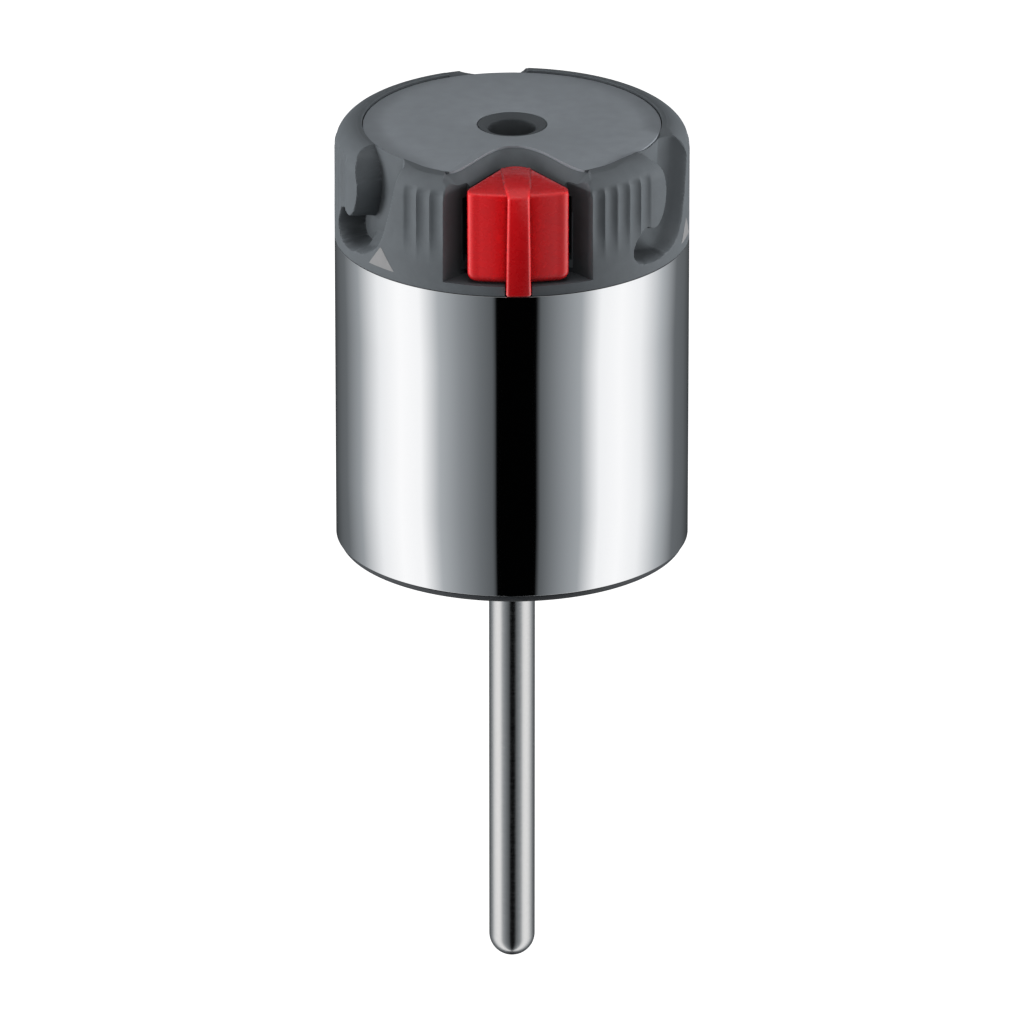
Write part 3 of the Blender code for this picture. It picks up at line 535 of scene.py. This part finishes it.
def lip_radius(degrees):
    """The radius at which the cap's rim ends, along the disc's edge and its bite."""
    lip = DISC_RADIUS + 0.12 * MM
    bite = np.array(bulged(BITE_PLAN, -0.12 * MM))
    turns = np.degrees(np.arctan2(bite[:, 0], -bite[:, 1]))
    reach = np.interp(degrees, turns, np.hypot(bite[:, 0], bite[:, 1]), left=1, right=1)
    return np.minimum(lip, reach)


def cap_body():
    """The cap's outside as a dense turned skin with its scoops and flutes, closed by the cavity inside."""
    degrees = np.linspace(-180, 180, COLUMNS, endpoint=False)
    angle = np.radians(degrees - 90)
    top = (CAP_HIGH - CAP_LOW) / MM
    floor = (POCKET_FLOOR - CAP_LOW) / MM
    round_start = top - SHOULDER / MM
    side = np.concatenate([[0.12, 0.9, 1.5, floor - 0.02, floor + 0.02], np.arange(2.0, round_start, 0.24)])
    climb = round_start + SHOULDER / MM * np.sin(np.radians(np.linspace(0, 84, 26)))
    heights = np.concatenate([side, climb])
    mouth = mouth_radius(degrees)
    lip = lip_radius(degrees)
    dip = rim_dip(degrees)
    thinnest = DISC_RADIUS + 0.3 * MM
    rows = []

    def flat_row(radius, height):
        rows.append((np.full(COLUMNS, radius), np.full(COLUMNS, height)))

    flat_row(CAVITY, CAP_LOW)
    corner = 0.12 * MM
    flat_row(RADIUS - corner, CAP_LOW)
    for angle_up in (30, 60):
        turn = math.radians(angle_up)
        flat_row(RADIUS - corner + corner * math.sin(turn), CAP_LOW + corner - corner * math.cos(turn))
    for height in heights:
        level = np.full(COLUMNS, height)
        outer = shoulder_radius(level)
        carved = RADIUS - scoop_depth(degrees, level)
        radius = np.maximum(np.minimum(outer - flute_depth(degrees, level), carved), thinnest)
        if height > floor:
            radius = soft_least(radius, mouth, 0.5 * MM)
        rows.append((radius, np.minimum(CAP_LOW + level * MM, CAP_HIGH - dip)))
    last = rows[-1][0]
    for share in np.linspace(0.1, 1, 24):
        rows.append((last + (lip + 0.1 * MM - last) * share, CAP_HIGH - dip))
    rows.append((lip, CAP_HIGH - dip - 0.06 * MM))
    for index in range(4 + len(side), len(rows)):
        radius, height = rows[index]
        cove = cove_height(radius * np.cos(angle), radius * np.sin(angle))
        rows[index] = (radius, np.where(cove < 1, soft_least(height, cove, 1.3 * MM), height))
    rows.append((lip, np.full(COLUMNS, DISC[0] - GROOVE)))
    flat_row(COLLAR_RADIUS + GROOVE, DISC[0] - GROOVE)
    flat_row(COLLAR_RADIUS + GROOVE, CEILING)
    flat_row(CAVITY, CEILING)
    radius = np.array([row[0] for row in rows])
    height = np.array([row[1] for row in rows])
    points = np.stack([radius * np.cos(angle), radius * np.sin(angle), height], axis=-1)
    return grid_mesh("cap_body", points)


def cap_cutters():
    """The pocket round the latch and what the latch's tail and tongue need. No two share a plane."""
    apart = 0.02 * MM
    beyond = -(RADIUS + 4 * MM)
    lid = CAP_HIGH + 3 * MM
    half = POCKET_HALF - apart
    roof_plan = with_front(POCKET_PLAN, POCKET_HALF)
    roof_pocket = loft("roof_pocket", [roof_plan, roof_plan], (70.7 * MM, lid))
    plate_pocket = box_mesh("plate_pocket", (-half, half), (beyond - apart, WALL_Y), (SHELF, 72 * MM))
    half -= apart
    foot_height = (POCKET_FLOOR, SHELF + 1 * MM)
    foot_pocket = box_mesh("foot_pocket", (-half, half), (beyond + apart, -24.3 * MM), foot_height)
    tail_half = RIB_HALF + 0.32 * MM
    tail = box_mesh("tail_slot", (-tail_half, tail_half), (beyond, -26.5 * MM), (CAP_LOW - 1 * MM, 60 * MM))
    tongue = box_mesh("tongue_slot", (-4.7 * MM, 4.7 * MM), (-22.4 * MM, -17 * MM), (58 * MM, 63 * MM))
    return [("DIFFERENCE", mesh) for mesh in (roof_pocket, plate_pocket, foot_pocket, tail, tongue)]


def make_cap():
    wall = POCKET_HALF + 1.5 * MM
    height = (59.2 * MM, CEILING + 1 * MM)
    filling = box_mesh("pocket_wall", (-wall, wall), (-24 * MM, WALL_Y + 1.5 * MM), height)
    mesh = combined(cap_body(), [("UNION", filling)] + cap_cutters())
    return make_piece("turning_cap_skin", mesh, "cap_plastic", "head", "turning_cap", sharp=28)


def make_disc():
    """The lighter disc in the cap's top, with its bite and its centre hole."""
    hole = COLLAR_RADIUS + 0.12 * MM
    soft = 0.15 * MM
    outline = [(hole, DISC[0]), (DISC_RADIUS - soft, DISC[0]), (DISC_RADIUS, DISC[0] + soft)]
    outline += arc((DISC_RADIUS - soft, DISC[1] - soft), soft, 0, 90, 3)
    outline += arc((hole + soft, DISC[1] - soft), soft, 90, 180, 3)
    body = lathe("disc_body", outline, 360)
    bite = with_front(BITE_PLAN, 15 * MM)
    mesh = combined(body, [("DIFFERENCE", loft("bite", [bite, bite], (DISC[0] - 1 * MM, DISC[1] + 1 * MM)))])
    return make_piece("top_disc_cover", mesh, "disc_plastic", "head", "top_disc")


def make_collar():
    """The countersunk bush in the middle of the disc."""
    bore = 4.15 * MM
    soft = 0.1 * MM
    low, high = COLLAR
    outline = [(bore, low), (COLLAR_RADIUS, low), (COLLAR_RADIUS, high - soft), (COLLAR_RADIUS - soft, high)]
    outline += [(COLLAR_RADIUS - 0.22 * MM, high - 0.02 * MM), (bore + 0.25 * MM, high - 0.6 * MM)]
    outline += arc((bore + 0.25 * MM, high - 0.85 * MM), 0.25 * MM, 80, 180, 4)
    mesh = lathe("bore_collar", outline, 128)
    make_piece("bore_collar_bush", mesh, "cap_plastic", "head", "bore_collar", finish="bush_plastic")


def mark_mesh(name, low, high):
    """A thin curved triangle, point up, let into the cap's side between two corners."""
    middle = (low + high) / 2
    angle = math.atan2(middle.y, middle.x)
    half = 3.0 * MM / RADIUS
    steps, sides = 14, 8
    outer, inner = [], []
    bm = bmesh.new()
    for step in range(steps + 1):
        share = step / steps
        width = half * (1 - share) + 0.12 * MM / RADIUS
        height = low.z + (high.z - low.z) * share
        for rows, radius in ((outer, RADIUS + 0.03 * MM), (inner, RADIUS - 0.25 * MM)):
            turns = [angle + width * side / 4 for side in range(-4, 5)]
            points = [(radius * math.cos(turn), radius * math.sin(turn), height) for turn in turns]
            rows.append([bm.verts.new(point) for point in points])
    for below, above, deep_below, deep_above in zip(outer, outer[1:], inner, inner[1:]):
        for side in range(sides):
            bm.faces.new((below[side], below[side + 1], above[side + 1], above[side]))
            bm.faces.new((deep_below[side + 1], deep_below[side], deep_above[side], deep_above[side + 1]))
        for side in (0, sides):
            bm.faces.new((below[side], above[side], deep_above[side], deep_below[side]))
    for row, back in ((outer[0], inner[0]), (outer[-1], inner[-1])):
        for side in range(sides):
            bm.faces.new((row[side], row[side + 1], back[side + 1], back[side]))
    bmesh.ops.recalc_face_normals(bm, faces=bm.faces)
    mesh = bpy.data.meshes.new(name)
    bm.to_mesh(mesh)
    bm.free()
    return mesh


def make_marks():
    """The pale index triangles on the lower band, as thin curved inlays."""
    for number in (1, 2, 3):
        low, high = (Vector(corner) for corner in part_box(f"index_mark_{number}"))
        mesh = mark_mesh(f"mark_{number}", low, high)
        make_piece(f"index_inlay_{number}", mesh, "mark_plastic", "head", f"index_mark_{number}")


# ---------------------------------------------------------------- the latch


def latch_plan(side, front, roofed):
    """The latch's plan, its sides and front drawn in, with round cheeks beside the curved front panel.

    Behind the cheeks it has the roof's point, or below the roof a flat back.
    """
    cheek = 1.6 * MM
    half = LATCH_HALF - side
    radius = LATCH_FRONT - front
    reach = half - cheek
    found = [(x, -math.sqrt(radius**2 - x**2)) for x in np.linspace(-reach, reach, 25)]
    x, y = found[-1]
    end = -(LATCH_BACK + 0.4 * MM)
    turns = np.radians([20, 40, 60, 75, 90])
    right = [(x + cheek * math.sin(turn), y + 0.4 * (end - y) * (1 - math.cos(turn))) for turn in turns]
    right.append((half, end))
    back = bulged(LATCH_PLAN, -side if roofed else 0)
    least = end + 0.02 * MM
    back = [(max(-half, min(half, px)), max(py, least) if roofed else -LATCH_BACK) for px, py in back]
    return found + right + back[::-1] + [(-px, py) for px, py in reversed(right)]


def latch_body():
    """The press piece without its pointer: a front panel with round cheeks and foot under a pointed roof."""
    foot, edge = 1.7 * MM, 0.5 * MM
    under = 71.6 * MM
    rows = []
    for turn in np.radians(np.linspace(0, 90, 9)):
        share = 1 - math.sin(turn)
        rows.append((foot * share, 0.9 * MM * share, LATCH_BOTTOM + foot * (1 - math.cos(turn)), False))
    rows += [(0, 0, under, False), (0, 0, under + 0.001 * MM, True)]
    for turn in np.radians(np.linspace(0, 90, 7)):
        inset = edge * (1 - math.cos(turn))
        rows.append((inset, inset, ROOF - edge + edge * math.sin(turn), True))
    outlines = [latch_plan(side, front, roofed) for side, front, _, roofed in rows]
    return loft("latch_body", outlines, [height for _, _, height, _ in rows])


def pointer():
    """The rib down the front and over the roof, wider at its tail, with round bright edges."""
    tail = LATCH[0][2]
    front = LATCH[0][1]
    root = front + 3.0 * MM
    soft = 0.5 * MM
    round_edge = [(1 - math.cos(turn), 1 - math.sin(turn)) for turn in np.radians([0, 22, 45, 68, 90])]
    # Each row: half width at the base, reach of the round edge, then (y, z) of root, base edge and face
    profile = [
        (2.4, 0.6, (-16.2, -0.6), (-16.2, -0.05), (-16.4, -0.02)),
        (2.6, 0.6, (-17.3, -0.6), (-17.1, 0.02), (-17.5, 0.35)),
        (2.3, 0.6, (-26.5, -0.6), (-26.5, 0.02), (-26.5, 0.35)),
        (1.95, 0.5, (-29.0, -0.9), (-30.1, -0.12), (-30.6, 0.33)),
        (1.9, 0.5, (-28.7, -1.3), (-30.5, -0.5), (-31.08, 0.02)),
        (1.88, 0.5, (-28.5, -1.6), (-30.8, -1.0), (-31.3, -0.45)),
    ]
    rows = []

    def add_row(half, reach, deep, base, face):
        side = [(half, *deep)]
        for across, back in round_edge:
            place = [end + (start - end) * back for start, end in zip(base, face)]
            side.append((half - reach * across, *place))
        rows.append([(-x, y, z) for x, y, z in side] + side[::-1])

    for half, reach, *places in profile:
        add_row(half * MM, reach * MM, *[(y * MM, ROOF + z * MM) for y, z in places])
    for shrink, height in ((0, tail + 0.25 * MM), (0.15 * MM, tail)):
        add_row(2.15 * MM - shrink, soft, (root, height), (front + soft, height), (front + shrink, height))
    return grid_mesh("pointer", np.array(rows), closed_rows=False)


def make_latch():
    tongue = (-3.8 * MM, 3.8 * MM)
    extras = [("UNION", pointer())]
    for side in (-1, 1):
        x_range = sorted((side * (LATCH_HALF - 1.4 * MM), side * (LATCH_HALF - 0.06 * MM)))
        cheek = box_mesh(f"cheek_{side}", x_range, (-27 * MM, -22.5 * MM), (61 * MM, 71.8 * MM))
        extras.append(("UNION", cheek))
    extras.append(("UNION", box_mesh("tongue", tongue, (-27 * MM, -19.2 * MM), (61.2 * MM, 62.4 * MM))))
    extras.append(("UNION", box_mesh("leg", tongue, (-20.2 * MM, -19.2 * MM), (57.4 * MM, 62.0 * MM))))
    for side in (-1, 1):
        hole = lathe(f"guide_bore_{side}", [(1.6 * MM, -1.9 * MM), (1.6 * MM, 1.9 * MM)], 32, closed=False)
        place = Matrix.Translation((side * PIN_X, -26.9 * MM, PIN_Z))
        hole.transform(place @ Matrix.Rotation(math.pi / 2, 4, "X"))
        extras.append(("DIFFERENCE", hole))
    mesh = combined(latch_body(), extras)
    return make_piece("press_latch", mesh, "latch_plastic", "press", "latch", sharp=40)


def make_spring():
    """The spring behind the latch, fixed at the cap's wall."""
    low, high = (Vector(corner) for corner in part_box("latch_spring"))
    wire, turns = 0.25 * MM, 5
    radius = (high.x - low.x) / 2 - wire
    start, end = low.y + wire, high.y - wire
    around = np.linspace(0, 2 * np.pi, 12, endpoint=False)
    rows = []
    for share in np.linspace(0, 1, 40 * turns + 1):
        turn = 2 * math.pi * turns * share
        reach = radius + wire * np.cos(around)
        along = start + (end - start) * share + wire * np.sin(around)
        rows.append(np.stack([reach * math.cos(turn), along, PIN_Z + reach * math.sin(turn)], axis=-1))
    mesh = grid_mesh("spring", np.array(rows), closed_rows=False)
    piece = make_piece("latch_coil", mesh, "bright_steel", "head", "latch_spring", sharp=60)
    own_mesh(piece)


# ---------------------------------------------------------------- body, base and probe


def make_sleeve():
    low, high = SLEEVE[0], CAP_LOW - 0.07 * MM
    inner = RADIUS - 0.8 * MM
    lip = 27.5 * MM
    soft = 0.12 * MM
    outline = [(inner, low + 0.1 * MM), (inner + 0.1 * MM, low)]
    outline += arc((RADIUS - soft, low + soft), soft, -90, 0, 4)
    outline += [(RADIUS, low + (high - low) * share) for share in (0.25, 0.5, 0.75)]
    outline += arc((RADIUS - soft, high - soft), soft, 0, 90, 4)
    outline += [(lip, high), (lip, high - 0.7 * MM), (inner, high - 0.7 * MM)]
    make_piece("chrome_sleeve", lathe("sleeve", outline, 360), "chrome", "root", "body_sleeve", sharp=50)


def base_outline():
    """The base ring in profile: its rim, the plug with the seal's groove, and the gland round the probe."""
    bore, gland, counterbore = 4.3 * MM, 9.0 * MM, 7.0 * MM
    rim_radius, plug, wall, groove = 30.0 * MM, 29.3 * MM, 26.5 * MM, 28.2 * MM
    step, plug_top, floor = 1.1 * MM, 5.2 * MM, 2.2 * MM
    groove_low, groove_high = 2.7 * MM, 4.1 * MM
    gland_top, seat = 9 * MM, 5 * MM
    soft = 0.9 * MM
    edge = 0.3 * MM
    outline = [(bore + edge, 0)] + arc((rim_radius - soft, soft), soft, -90, 0, 12)
    outline += [(rim_radius, step), (plug, step), (plug, groove_low), (groove, groove_low)]
    outline += [(groove, groove_high), (plug, groove_high), (plug, plug_top), (wall, plug_top)]
    outline += [(wall, floor), (gland, floor), (gland, gland_top), (counterbore, gland_top)]
    return outline + [(counterbore, seat), (bore, seat), (bore, edge)]


def turned_mm(name, profile):
    """A body of revolution from an outline in mm that starts and ends at the axis."""
    return lathe(name, [(radius * MM, height * MM) for radius, height in profile], 64, closed=False)


def make_base():
    """The base ring and its three countersunk screws with cross recesses."""
    axis = 1e-6
    holes = []
    for number in (1, 2, 3):
        low, high = (Vector(corner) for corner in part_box(f"base_screw_{number}"))
        place = Matrix.Translation(((low.x + high.x) / 2, (low.y + high.y) / 2, 0))
        profile = [(axis, -1), (3.0, -1), (3.0, 0.2), (1.6, 1.6), (1.6, 3), (axis, 3)]
        hole = turned_mm(f"screw_hole_{number}", profile)
        hole.transform(place)
        holes.append(("DIFFERENCE", hole))
        head = [(axis, 0.2), (2.45, 0.2), (2.56, 0.23), (2.6, 0.32), (2.6, 0.4)]
        shank = [(1.2, 1.8), (1.2, 11.6), (axis, 12.6)]
        screw = turned_mm(f"screw_{number}", head + shank)
        arms = []
        for side, (across, along) in enumerate(((1.45, 0.28), (0.28, 1.45))):
            x_range = (-across * MM, across * MM)
            arms.append(box_mesh(f"arm_{side}", x_range, (-along * MM, along * MM), (-0.2 * MM, 1.3 * MM)))
        mesh = combined(screw, [("DIFFERENCE", arm) for arm in arms])
        mesh.transform(place)
        make_piece(f"base_screw_{number}_finished", mesh, "bright_steel", "root", f"base_screw_{number}")
    mesh = combined(lathe("base_body", base_outline(), 256), holes)
    make_piece("base_ring", mesh, "base_plastic", "root", "base_cap")


def make_probe():
    """The probe's sheath: a drawn tube with a round end."""
    low = PROBE_TIP
    radius = PROBE_RADIUS
    wall = 0.5 * MM
    middle = low + radius
    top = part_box("probe_tube")[1][2]
    flange = 6.6 * MM
    outside = arc((0, middle), radius, -90, 0, 16)
    inside_arc = arc((0, middle), radius - wall, 0, -90, 12)
    outline = [(1e-6, outside[0][1])] + outside[1:]
    flange_low, flange_high = 6.5 * MM, 7.5 * MM
    outline += [(radius, flange_low), (flange, flange_low), (flange, flange_high), (radius, flange_high)]
    outline += [(radius, top)]
    outline += [(radius - wall, top)] + inside_arc[:-1] + [(1e-6, inside_arc[-1][1])]
    mesh = lathe("probe", outline, 96, closed=False)
    make_piece("probe_sheath", mesh, "probe_steel", "root", "probe_tube", sharp=40)


def finish_cad_nodes():
    """Gives every carried-over CAD node the procedural material of its slot."""
    for part in frame["record"]["subparts"]:
        node = frame["nodes"][part["node"]]
        node.data.materials.clear()
        node.data.materials.append(MATERIALS[part["material_slot"]])
        node.data.shade_smooth()
        node.data.set_sharp_from_angle(angle=math.radians(35))


# ---------------------------------------------------------------- stage


def set_camera():
    """Looks down at the front from a long way off, a little to the left of the latch."""
    aim = Vector((0, 0, 56.35 * MM))
    around = math.radians(2.1)
    above = math.radians(20.9)
    distance = 2.23
    pitch = math.radians(22.13)
    level = math.cos(above)
    away = Vector((-math.sin(around) * level, -math.cos(around) * level, math.sin(above)))
    data = bpy.data.cameras.new("camera")
    data.sensor_width = 36
    data.lens = 455.8
    data.clip_end = 20
    camera = bpy.data.objects.new("camera", data)
    camera.location = aim + distance * away
    camera.rotation_euler = (math.pi / 2 - pitch, 0, -around)
    bpy.context.scene.collection.objects.link(camera)
    bpy.context.scene.camera = camera


# The studio as it lies round the object: degrees from the front, and how bright the wall or card there is
STUDIO = [
    (-180, 0.03), (-165, 0.07), (-150, 0.13), (-138, 0.16), (-118, 0.38), (-96, 0.95), (-78, 1.1),
    (-62, 1.05), (-48, 0.48), (-34, 0.30), (-21, 0.18), (-12, 0.12), (-10, 0.0005), (16, 0.0005),
    (18, 0.12), (31, 0.27), (45, 0.42), (59, 1.0), (75, 1.08), (92, 0.98), (113, 0.5), (133, 0.16),
    (150, 0.13), (165, 0.07), (180, 0.03),
]
# How bright the tent is for matt surfaces, next to what polished ones mirror
FILL = 0.18


def set_world():
    """A round white tent with grey cards and a narrow black one in front, open at the top."""
    world = bpy.data.worlds.new("tent")
    world.use_nodes = True
    nodes, links = world.node_tree.nodes, world.node_tree.links
    background = nodes["Background"]
    place = nodes.new("ShaderNodeTexCoord")
    parts = nodes.new("ShaderNodeSeparateXYZ")
    links.new(place.outputs["Generated"], parts.inputs["Vector"])

    def maths(operation, first, second=None):
        node = nodes.new("ShaderNodeMath")
        node.operation = operation
        for socket, value in zip(node.inputs, (first, second)):
            if value is None:
                continue
            if isinstance(value, (int, float)):
                socket.default_value = value
            else:
                links.new(value, socket)
        return node.outputs["Value"]

    backward = maths("MULTIPLY", parts.outputs["Y"], -1.0)
    azimuth = maths("ARCTAN2", parts.outputs["X"], backward)
    turned_to_camera = maths("ADD", azimuth, math.radians(2.1))
    share = maths("MULTIPLY_ADD", turned_to_camera, 1 / (2 * math.pi))
    nodes[-1].inputs[2].default_value = 0.5
    share = maths("FRACT", share)
    ramp = nodes.new("ShaderNodeValToRGB")
    elements = ramp.color_ramp.elements
    while len(elements) > 1:
        elements.remove(elements[-1])
    elements[0].position = 0
    for index, (degrees, level) in enumerate(STUDIO):
        element = elements[0] if index == 0 else elements.new((degrees + 180) / 360)
        shade = 1 - level
        element.color = (level * (1 - 0.14 * shade), level * (1 - 0.06 * shade), level, 1)
    links.new(share, ramp.inputs["Fac"])
    ceiling = nodes.new("ShaderNodeMapRange")
    ceiling.inputs["From Min"].default_value = 0.35
    ceiling.inputs["From Max"].default_value = 0.85
    links.new(parts.outputs["Z"], ceiling.inputs["Value"])
    mix = nodes.new("ShaderNodeMix")
    mix.data_type = "RGBA"
    mix.inputs["B"].default_value = (0.35, 0.35, 0.35, 1)
    links.new(ceiling.outputs["Result"], mix.inputs["Factor"])
    links.new(ramp.outputs["Color"], mix.inputs["A"])
    links.new(mix.outputs["Result"], background.inputs["Color"])
    path = nodes.new("ShaderNodeLightPath")
    dimmed = maths("MULTIPLY_ADD", path.outputs["Is Diffuse Ray"], FILL - 1)
    nodes[-1].inputs[2].default_value = 1
    links.new(dimmed, background.inputs["Strength"])
    bpy.context.scene.world = world


def add_light(name, degrees, above, size, level):
    """A soft light aimed at the cap. Its level is what a white matt card facing it would show."""
    distance = 0.6
    aim = Vector((0, 0, 66 * MM))
    around, above = math.radians(degrees), math.radians(above)
    away = Vector((math.sin(around) * math.cos(above), -math.cos(around) * math.cos(above), math.sin(above)))
    data = bpy.data.lights.new(name, "AREA")
    data.size = size
    data.energy = level * math.pi**2 * distance**2
    light = bpy.data.objects.new(name, data)
    light.location = aim + distance * away
    light.rotation_euler = away.to_track_quat("Z", "Y").to_euler()
    light.visible_glossy = False
    light.visible_camera = False
    bpy.context.scene.collection.objects.link(light)


def add_lights():
    add_light("left_light", -86, 3, 0.16, 0.92)
    add_light("left_fill", -66, 8, 0.12, 0.12)
    add_light("right_light", 97, 3, 0.2, 1.1)
    add_light("front_light", 16, 12, 0.3, 0.21)
    add_light("top_light", -10, 76, 0.35, 0.37)


def make_floor():
    """A wide pale floor well below the hanging probe."""
    level = PROBE_TIP - 1.2
    mesh = bpy.data.meshes.new("floor")
    reach = 12.0
    corners = [(-reach, -reach, level), (reach, -reach, level), (reach, reach, level), (-reach, reach, level)]
    mesh.from_pydata(corners, [], [(0, 1, 2, 3)])
    floor = bpy.data.objects.new("floor", mesh)
    found, _, _, shader = new_material("floor_white")
    shader.inputs["Base Color"].default_value = (0.6, 0.6, 0.6, 1)
    shader.inputs["Roughness"].default_value = 0.9
    shader.inputs["Emission Color"].default_value = (1, 1, 1, 1)
    shader.inputs["Emission Strength"].default_value = 1.1
    mesh.materials.append(found)
    floor.visible_glossy = False
    floor.visible_diffuse = False
    bpy.context.scene.collection.objects.link(floor)


def main():
    bpy.context.scene.view_settings.view_transform = "Standard"
    set_camera()
    set_world()
    add_lights()
    make_floor()
    finish_cad_nodes()
    make_sleeve()
    make_base()
    make_probe()
    make_cap()
    make_disc()
    make_collar()
    make_marks()
    make_latch()
    make_spring()


main()
